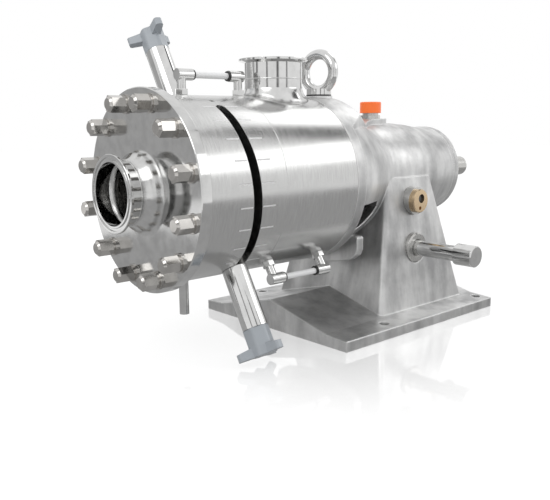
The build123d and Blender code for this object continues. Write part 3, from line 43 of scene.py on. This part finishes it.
# Sizes of the machine in the row frame
FRONT_Y = -0.4025               # front face of the cover
SHAFT_H = 0.206                 # shaft line above the floor
CASE_R = 0.1117                 # outside of the casing
TUBE_R = 0.0381                 # outside of both port tubes
INLET_WELD_Y = FRONT_Y - 0.022
OUTLET_Y = FRONT_Y + 0.2066
OUTLET_WELD_H = SHAFT_H + 0.134
WELD_BEAD = 0.0005

# The helical slot and the scale beside it
HELIX_LEAD = 0.0484
HELIX_S = 0.0836                # middle of the slot at angle zero, behind the front face
SLOT_W = 0.0126
MARK_COUNT = 9
FIRST_MARK = 60.56              # degrees
MARK_PITCH = 13.7               # degrees
MARK_W = 0.0015
MARK_FRONT = -0.0249            # ends of a line, from the middle of the slot
MARK_BACK = 0.0264
MARK_GAP = 0.0011               # between a line and the edge of the slot
MARK_DEEP = 0.0004
MARK_SUNK = 0.00005             # top of the fill below the casing

# Where the polyline curves of the necks flow in the shading: centre, mask, reach, radius
PLATE_CURVE = ((0.0, 0.0, SHAFT_H), (1.0, 0.0, 1.0), 0.066, 0.009)
SADDLE_CURVE = ((0.0, 0.0, SHAFT_H + 0.09), (0.0, 0.0, 1.0), 0.034, 0.008)

# The studio
MIDDLE = (0.0, -0.15, 0.2)      # where the lamps and the large cards aim
FLAG_MIDDLE = (0.0, -0.2, 0.33)
FLAG_RING = 0.85
FLAG_H = 0.64
FLAGS = ((-65, 0.13, 0.16), (-24, 0.20, 0.16), (13, 0.13, 0.20), (-107, 0.18, 0.16),
         (180, 0.30, 0.25))     # bearing in degrees, width, level
FLOOR_SIZE = 12.0
FLOOR_H = -0.0004
MIRROR_SHARE = 0.42             # how much of the floor is mirror under the machine
MIRROR_NEAR = 0.16              # where the mirror starts to fade, and where it ends
MIRROR_FAR = 0.55

# The camera, solved from the photograph
CAMERA_AT = (0.7167, FRONT_Y - 0.4285, 0.2879)
CAMERA_LOOK = (-0.7355, 0.6526, -0.1822)
CAMERA_UP = (-0.1309, 0.1270, 0.9832)
CAMERA_LENS = 46.1
SENSOR_W = 36.0


# Materials

EVEN = (1.0, 1.0, 1.0)          # how a noise is stretched: no direction
AROUND = (1.0, 30.0, 1.0)       # brush lines that run round the casing


def new_material(name):
    """A node material with a Principled shader; gives the material and the shader."""
    mat = bpy.data.materials.new(name)
    mat.use_nodes = True
    return mat, mat.node_tree.nodes["Principled BSDF"]


def plain(name, color, metallic=0.0, roughness=0.5, **sockets):
    mat, bsdf = new_material(name)
    bsdf.inputs["Base Color"].default_value = (*color, 1.0)
    bsdf.inputs["Metallic"].default_value = metallic
    bsdf.inputs["Roughness"].default_value = roughness
    for socket, value in sockets.items():
        bsdf.inputs[socket.replace("_", " ")].default_value = value
    return mat


def object_coords(tree):
    return tree.nodes.new("ShaderNodeTexCoord").outputs["Object"]


def vector_math(tree, operation, source, fixed=None):
    """One step of vector arithmetic; fixed is its second vector, where it takes one."""
    step = tree.nodes.new("ShaderNodeVectorMath")
    step.operation = operation
    tree.links.new(source, step.inputs[0])
    if fixed is not None:
        step.inputs[1].default_value = fixed
    return step


def clamped_sum(tree, first, second):
    total = tree.nodes.new("ShaderNodeMath")
    total.operation = "ADD"
    total.use_clamp = True
    tree.links.new(first, total.inputs[0])
    tree.links.new(second, total.inputs[1])
    return total.outputs["Value"]


def blend(tree, share, first, second):
    """Mixes two values; share is the part of the second."""
    mix = tree.nodes.new("ShaderNodeMix")
    mix.data_type = "FLOAT"
    mix.inputs["Factor"].default_value = share
    tree.links.new(first, mix.inputs["A"])
    tree.links.new(second, mix.inputs["B"])
    return mix.outputs["Result"]


def noise(tree, scale, stretch=EVEN, detail=4.0, roughness=0.55):
    """A noise value; stretch above one makes the pattern finer along that axis."""
    mapping = tree.nodes.new("ShaderNodeMapping")
    mapping.inputs["Scale"].default_value = stretch
    tree.links.new(object_coords(tree), mapping.inputs["Vector"])
    texture = tree.nodes.new("ShaderNodeTexNoise")
    texture.inputs["Scale"].default_value = scale
    texture.inputs["Detail"].default_value = detail
    texture.inputs["Roughness"].default_value = roughness
    tree.links.new(mapping.outputs["Vector"], texture.inputs["Vector"])
    return texture.outputs["Fac"]


def ranged(tree, source, low, high, from_low=0.3, from_high=0.7, curve="LINEAR"):
    """Maps one range of values onto another; the usual first range is that of a noise."""
    mapped = tree.nodes.new("ShaderNodeMapRange")
    mapped.interpolation_type = curve
    mapped.inputs["From Min"].default_value = from_low
    mapped.inputs["From Max"].default_value = from_high
    mapped.inputs["To Min"].default_value = low
    mapped.inputs["To Max"].default_value = high
    tree.links.new(source, mapped.inputs["Value"])
    return mapped.outputs["Result"]


def tinted(tree, source, dark, light):
    """Colours between two greys by a noise value."""
    ramp = tree.nodes.new("ShaderNodeValToRGB")
    ramp.color_ramp.elements[0].position = 0.38
    ramp.color_ramp.elements[0].color = (*dark, 1.0)
    ramp.color_ramp.elements[1].position = 0.60
    ramp.color_ramp.elements[1].color = (*light, 1.0)
    tree.links.new(source, ramp.inputs["Fac"])
    return ramp.outputs["Color"]


def rounded_edges(tree, bsdf, radius, bump_source=None, bump_strength=0.0, bump_distance=0.0002):
    """Softens the edges in the shading and adds a fine surface if asked; gives the bevel."""
    bevel = tree.nodes.new("ShaderNodeBevel")
    bevel.samples = 4
    bevel.inputs["Radius"].default_value = radius
    normal = bevel.outputs["Normal"]
    if bump_source is not None:
        bump = tree.nodes.new("ShaderNodeBump")
        bump.inputs["Strength"].default_value = bump_strength
        bump.inputs["Distance"].default_value = bump_distance
        tree.links.new(bump_source, bump.inputs["Height"])
        tree.links.new(normal, bump.inputs["Normal"])
        normal = bump.outputs["Normal"]
    tree.links.new(normal, bsdf.inputs["Normal"])
    return bevel


def zone_radius(tree, bevel, centre, mask, reach, inside):
    """Widens the softened edges to a flowing curve near a centre; mask drops an axis."""
    offset = vector_math(tree, "SUBTRACT", object_coords(tree), centre)
    kept = vector_math(tree, "MULTIPLY", offset.outputs["Vector"], mask)
    length = vector_math(tree, "LENGTH", kept.outputs["Vector"])
    outside = bevel.inputs["Radius"].default_value
    bevel.samples = 12
    tree.links.new(ranged(tree, length.outputs["Value"], inside, outside, 0.9 * reach, reach),
                   bevel.inputs["Radius"])


def brushed(name, color, rough_low, rough_high, stretch, edge, zone=None):
    """Steel with faint brush lines and a few wiped patches; stretch sets how the lines run."""
    mat, bsdf = new_material(name)
    tree = mat.node_tree
    lines = noise(tree, 60.0, stretch, detail=3.0)
    wiped = noise(tree, 9.0, detail=3.0)
    shades = [[level * part for part in color] for level in (0.93, 1.04)]
    tree.links.new(tinted(tree, lines, *shades), bsdf.inputs["Base Color"])
    bsdf.inputs["Metallic"].default_value = 1.0
    gloss = ranged(tree, blend(tree, 0.5, lines, wiped), rough_low, rough_high, 0.38, 0.62)
    tree.links.new(gloss, bsdf.inputs["Roughness"])
    bevel = rounded_edges(tree, bsdf, edge, lines, 0.08, 0.0001)
    if zone:
        zone_radius(tree, bevel, *zone)
    return mat


def edge_mask(tree, radius):
    """Near one on the edges and zero on open faces, from how far a rounded edge would turn."""
    bevel = tree.nodes.new("ShaderNodeBevel")
    bevel.samples = 4
    bevel.inputs["Radius"].default_value = radius
    geometry = tree.nodes.new("ShaderNodeNewGeometry")
    dot = vector_math(tree, "DOT_PRODUCT", bevel.outputs["Normal"])
    tree.links.new(geometry.outputs["Normal"], dot.inputs[1])
    return ranged(tree, dot.outputs["Value"], 1.0, 0.0, 0.90, 0.995)


def cast_steel(name):
    """Bead blasted casting: matt, stained in clouds and runs, with a painted highlight that
    lightens its edges.
    """
    mat, bsdf = new_material(name)
    tree = mat.node_tree
    clouds = noise(tree, 11.0, detail=8.0, roughness=0.62)
    runs = noise(tree, 42.0, (1.0, 1.0, 0.16), detail=5.0)
    grain = noise(tree, 700.0, detail=3.0)
    stains = blend(tree, 0.42, clouds, runs)
    stained = tinted(tree, stains, (0.35, 0.35, 0.352), (0.70, 0.70, 0.695))
    # Painted highlight: the edge mask mixes the edges toward a bright grey, standing in for light
    # catching the rounded edges.
    edge_highlight = tree.nodes.new("ShaderNodeMix")
    edge_highlight.data_type = "RGBA"
    edge_highlight.inputs["B"].default_value = (0.80, 0.80, 0.795, 1.0)
    tree.links.new(edge_mask(tree, 0.0035), edge_highlight.inputs["Factor"])
    tree.links.new(stained, edge_highlight.inputs["A"])
    tree.links.new(edge_highlight.outputs["Result"], bsdf.inputs["Base Color"])
    bsdf.inputs["Metallic"].default_value = 0.85
    tree.links.new(ranged(tree, stains, 0.46, 0.34), bsdf.inputs["Roughness"])
    rounded_edges(tree, bsdf, 0.003, grain, 0.22, 0.0003)
    return mat


MATERIALS = {
    "polished_steel": brushed("polished_steel", (0.58, 0.58, 0.575), 0.17, 0.26, AROUND, 0.0006),
    "satin_steel": brushed("satin_steel", (0.53, 0.525, 0.51), 0.18, 0.28, AROUND, 0.0004),
    "mirror_steel": brushed("mirror_steel", (0.66, 0.66, 0.655), 0.05, 0.10, EVEN, 0.0005),
    "plate_steel": brushed("plate_steel", (0.60, 0.60, 0.595), 0.08, 0.14, EVEN, 0.0006,
                           PLATE_CURVE),
    "neck_steel": brushed("neck_steel", (0.66, 0.66, 0.655), 0.09, 0.14, EVEN, 0.0005,
                          SADDLE_CURVE),
    "nut_steel": brushed("nut_steel", (0.52, 0.505, 0.485), 0.10, 0.16, EVEN, 0.0004),
    "cast_steel": cast_steel("cast_steel"),
    # Painted shade: the near-black colour and weak specular of black_band stand in for the shade
    # inside the helical slot.
    "black_band": plain("black_band", (0.006, 0.006, 0.006), roughness=0.7, Specular_IOR_Level=0.1),
    "black_rubber": plain("black_rubber", (0.02, 0.02, 0.02), roughness=0.6),
    "seal_carbon": plain("seal_carbon", (0.03, 0.03, 0.032), roughness=0.35),
    "knob_plastic": plain("knob_plastic", (0.45, 0.485, 0.52), roughness=0.34),
    "black_plastic": plain("black_plastic", (0.015, 0.015, 0.015), roughness=0.4),
    "hose_plastic": plain("hose_plastic", (0.96, 0.965, 0.97), roughness=0.25),
    # Painted glow: the faint emission lifts the orange cap brighter than the lamps light it, though
    # it is no lamp.
    "orange_plastic": plain("orange_plastic", (1.0, 0.19, 0.035), roughness=0.3,
                            Emission_Color=(1.0, 0.19, 0.035, 1.0), Emission_Strength=0.22),
    "brass": plain("brass", (0.60, 0.46, 0.30), metallic=1.0, roughness=0.22),
    "clear_glass": plain("clear_glass", (0.02, 0.02, 0.02), roughness=0.05),
    "scale_fill": plain("scale_fill", (0.88, 0.88, 0.88), roughness=0.5),
}

# Nodes whose polish differs from the rest of their steel
LOOKS = {node: "mirror_steel" for node in (
    "handle_tubes", "drain_tube", "inlet_ferrule", "outlet_ferrule", "lifting_eye", "flush_elbows",
    "oil_drain_pipe", "oil_drain_cap")}
LOOKS.update({node: "nut_steel" for node in ("cap_nuts", "flat_washers", "lock_washers")})
LOOKS["front_cover"] = "plate_steel"
LOOKS["outlet_neck"] = "neck_steel"

for moulded in ("knob_plastic", "orange_plastic"):
    moulded_tree = MATERIALS[moulded].node_tree
    rounded_edges(moulded_tree, moulded_tree.nodes["Principled BSDF"], 0.0015)

for entry in frame["record"]["subparts"]:
    mesh = nodes[entry["node"]].data
    mesh.materials.clear()
    mesh.materials.append(MATERIALS[LOOKS.get(entry["node"], entry["material_slot"])])


# Pieces that the CAD nodes do not carry: the fill of the scale lines and two weld beads


def mesh_piece(name, verts, faces, look, body):
    """A piece from plain geometry; look is its material here, body the empty it hangs from."""
    mesh = bpy.data.meshes.new(name)
    mesh.from_pydata(verts, [], faces)
    mesh.update()
    piece = bpy.data.objects.new(name, mesh)
    scene.collection.objects.link(piece)
    mesh.materials.append(MATERIALS[look])
    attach(piece, body)
    return piece


def on_casing(angle, station, radius):
    """A point at an angle up from the side, a station behind the front face and a radius."""
    return Vector((radius * math.cos(angle), FRONT_Y + station,
                   SHAFT_H + radius * math.sin(angle)))


def scale_marks():
    """Bright fill in the engraved lines on both sides of the slot."""
    verts = []
    faces = []
    half = MARK_W / 2 / CASE_R
    spans = ((MARK_FRONT, -SLOT_W / 2 - MARK_GAP), (SLOT_W / 2 + MARK_GAP, MARK_BACK))
    for mark in range(MARK_COUNT):
        angle = math.radians(FIRST_MARK - MARK_PITCH * mark)
        station = HELIX_S - HELIX_LEAD * angle / (2 * math.pi)
        for start, end in spans:
            first = len(verts)
            for radius in (CASE_R - MARK_DEEP, CASE_R - MARK_SUNK):
                for at in (station + start, station + end):
                    verts.append(on_casing(angle - half, at, radius))
                    verts.append(on_casing(angle + half, at, radius))
            for corners in ((0, 1, 3, 2), (4, 6, 7, 5), (0, 4, 5, 1), (2, 3, 7, 6), (0, 2, 6, 4),
                            (1, 5, 7, 3)):
                faces.append([first + corner for corner in corners])
    mesh_piece("scale_marks", verts, faces, "scale_fill", "machine_frame")


def weld_bead(name, centre, axis):
    """A thin round bead around a port tube, a little wider than it is high."""
    around = 64
    across = 8
    widened = 1.6
    turn = Vector((0, 0, 1)).rotation_difference(Vector(axis)).to_matrix().to_4x4()
    place = Matrix.Translation(centre) @ turn
    verts = []
    faces = []
    for step in range(around):
        angle = 2 * math.pi * step / around
        for tick in range(across):
            roll = 2 * math.pi * tick / across
            reach = TUBE_R + WELD_BEAD * math.cos(roll)
            verts.append(place @ Vector((reach * math.cos(angle), reach * math.sin(angle),
                                         WELD_BEAD * widened * math.sin(roll))))
            here = step * across
            beyond = (step + 1) % around * across
            next_tick = (tick + 1) % across
            faces.append([here + tick, here + next_tick, beyond + next_tick, beyond + tick])
    piece = mesh_piece(name, verts, faces, "mirror_steel", "machine_frame")
    for polygon in piece.data.polygons:
        polygon.use_smooth = True


scale_marks()
weld_bead("inlet_weld", (0, INLET_WELD_Y, SHAFT_H), (0, 1, 0))
weld_bead("outlet_weld", (0, OUTLET_Y, OUTLET_WELD_H), (0, 0, 1))


# Floor, light and camera


def emission(tree, level):
    shader = tree.nodes.new("ShaderNodeEmission")
    shader.inputs["Color"].default_value = (level, level, level, 1.0)
    return shader.outputs["Emission"]


def mixed(tree, factor, first, second):
    """Mixes two shaders; the factor is the part of the second."""
    mix = tree.nodes.new("ShaderNodeMixShader")
    tree.links.new(factor, mix.inputs["Fac"])
    tree.links.new(first, mix.inputs[1])
    tree.links.new(second, mix.inputs[2])
    return mix.outputs["Shader"]


def seen(tree):
    """One for what the eye sees, straight or through metal and glass; zero for the light."""
    path = tree.nodes.new("ShaderNodeLightPath")
    total = path.outputs["Is Camera Ray"]
    for ray in ("Is Glossy Ray", "Is Transmission Ray"):
        total = clamped_sum(tree, total, path.outputs[ray])
    return total


def surface_material(name):
    """An empty node material; gives the material, its tree and the socket of its surface."""
    mat = bpy.data.materials.new(name)
    mat.use_nodes = True
    tree = mat.node_tree
    tree.nodes.clear()
    output = tree.nodes.new("ShaderNodeOutputMaterial")
    return mat, tree, output.inputs["Surface"]


def glossy_floor():
    """White floor with a soft shadow and a mirror image that fades away from the machine."""
    bpy.ops.mesh.primitive_plane_add(size=FLOOR_SIZE, location=(0, 0, FLOOR_H))
    floor = bpy.context.object
    floor.name = "floor"
    mat, tree, surface = surface_material("floor")
    matt = tree.nodes.new("ShaderNodeBsdfDiffuse")
    matt.inputs["Color"].default_value = (0.40, 0.40, 0.40, 1.0)
    gloss = tree.nodes.new("ShaderNodeBsdfGlossy")
    gloss.inputs["Color"].default_value = (1.0, 1.0, 1.0, 1.0)
    gloss.inputs["Roughness"].default_value = 0.05
    white = mixed(tree, seen(tree), emission(tree, 0.0), emission(tree, 0.74))
    base = tree.nodes.new("ShaderNodeAddShader")
    tree.links.new(matt.outputs["BSDF"], base.inputs[0])
    tree.links.new(white, base.inputs[1])
    reach = vector_math(tree, "LENGTH", object_coords(tree)).outputs["Value"]
    share = ranged(tree, reach, MIRROR_SHARE, 0.0, MIRROR_NEAR, MIRROR_FAR, "SMOOTHSTEP")
    tree.links.new(mixed(tree, share, base.outputs["Shader"], gloss.outputs["BSDF"]), surface)
    floor.data.materials.append(mat)


def soft_sides(tree, hidden):
    """Lets a card fade out towards its sides, which lie half a unit from its middle."""
    split = tree.nodes.new("ShaderNodeSeparateXYZ")
    tree.links.new(object_coords(tree), split.inputs["Vector"])
    off_middle = tree.nodes.new("ShaderNodeMath")
    off_middle.operation = "ABSOLUTE"
    tree.links.new(split.outputs["X"], off_middle.inputs[0])
    faded = ranged(tree, off_middle.outputs["Value"], 0.0, 1.0, 0.12, 0.5)
    return clamped_sum(tree, hidden, faded)


def grey_card(name, centre, target, size, level, soft=False):
    """Studio card that shows in mirror images alone; its back lets everything through."""
    bpy.ops.mesh.primitive_plane_add(size=1.0, location=centre)
    card = bpy.context.object
    card.name = name
    card.scale = (*size, 1.0)
    aim = Vector(target) - Vector(centre)
    card.rotation_euler = aim.to_track_quat("Z", "Y").to_euler()
    mat, tree, surface = surface_material(name)
    geometry = tree.nodes.new("ShaderNodeNewGeometry")
    clear = tree.nodes.new("ShaderNodeBsdfTransparent")
    hidden = geometry.outputs["Backfacing"]
    if soft:
        hidden = soft_sides(tree, hidden)
    tree.links.new(mixed(tree, hidden, emission(tree, level), clear.outputs["BSDF"]), surface)
    card.data.materials.append(mat)
    card.visible_camera = False
    card.visible_diffuse = False
    card.visible_transmission = False
    card.visible_shadow = False


def dark_flags():
    """Upright flags on a ring round the machine, which draw the dark lines in its polish."""
    for number, (bearing, width, level) in enumerate(FLAGS):
        turn = math.radians(bearing)
        flag_at = (FLAG_RING * math.cos(turn), FLAG_MIDDLE[1] + FLAG_RING * math.sin(turn),
                   FLAG_MIDDLE[2])
        grey_card(f"flag_{number}", flag_at, FLAG_MIDDLE, (width, FLAG_H), level, True)


def area_light(name, location, target, size, level, shape="RECTANGLE"):
    """Softbox with a plain level: its brightness is the same whatever its size."""
    data = bpy.data.lights.new(name, "AREA")
    data.shape = shape
    data.size, data.size_y = size
    data.energy = level * math.pi * size[0] * size[1]
    light = bpy.data.objects.new(name, data)
    scene.collection.objects.link(light)
    light.location = location
    light.rotation_euler = (Vector(target) - Vector(location)).to_track_quat("-Z", "Y").to_euler()


def studio_world():
    """White where it is seen, and a softer grey as light."""
    world = bpy.data.worlds.new("studio")
    scene.world = world
    world.use_nodes = True
    tree = world.node_tree
    tree.nodes.clear()
    backgrounds = []
    for level in (0.75, 1.0):
        background = tree.nodes.new("ShaderNodeBackground")
        background.inputs["Color"].default_value = (level, level, level, 1.0)
        backgrounds.append(background.outputs["Background"])
    output = tree.nodes.new("ShaderNodeOutputWorld")
    tree.links.new(mixed(tree, seen(tree), *backgrounds), output.inputs["Surface"])


def photo_camera():
    """Stands where the photograph was taken from."""
    camera_data = bpy.data.cameras.new("camera")
    camera_data.sensor_width = SENSOR_W
    camera_data.lens = CAMERA_LENS
    camera_data.clip_start = 0.01
    camera = bpy.data.objects.new("camera", camera_data)
    scene.collection.objects.link(camera)
    look = Vector(CAMERA_LOOK).normalized()
    right = look.cross(Vector(CAMERA_UP)).normalized()
    upright = right.cross(look).normalized()
    camera.matrix_world = Matrix((
        (right.x, upright.x, -look.x, CAMERA_AT[0]),
        (right.y, upright.y, -look.y, CAMERA_AT[1]),
        (right.z, upright.z, -look.z, CAMERA_AT[2]),
        (0.0, 0.0, 0.0, 1.0),
    ))
    scene.camera = camera


glossy_floor()
studio_world()
area_light("side_light", (1.45, 1.35, 1.25), MIDDLE, (1.5, 0.75), 1.35)
area_light("back_light", (-0.1, 1.3, 1.75), MIDDLE, (1.0, 0.6), 1.6)
area_light("front_light", (0.5, -1.9, 1.7), MIDDLE, (1.6, 1.2), 1.5, "ELLIPSE")
grey_card("low_card", (0.1, 0.0, 0.0003), (0.1, 0.0, 1.0), (2.0, 2.0), 0.45)
grey_card("left_card", (-1.5, -1.25, 0.45), MIDDLE, (1.7, 1.1), 0.48)
grey_card("gap_card", (0.53, 1.22, 1.65), MIDDLE, (0.5, 0.85), 0.14)
dark_flags()
photo_camera()

bpy.context.view_layer.update()
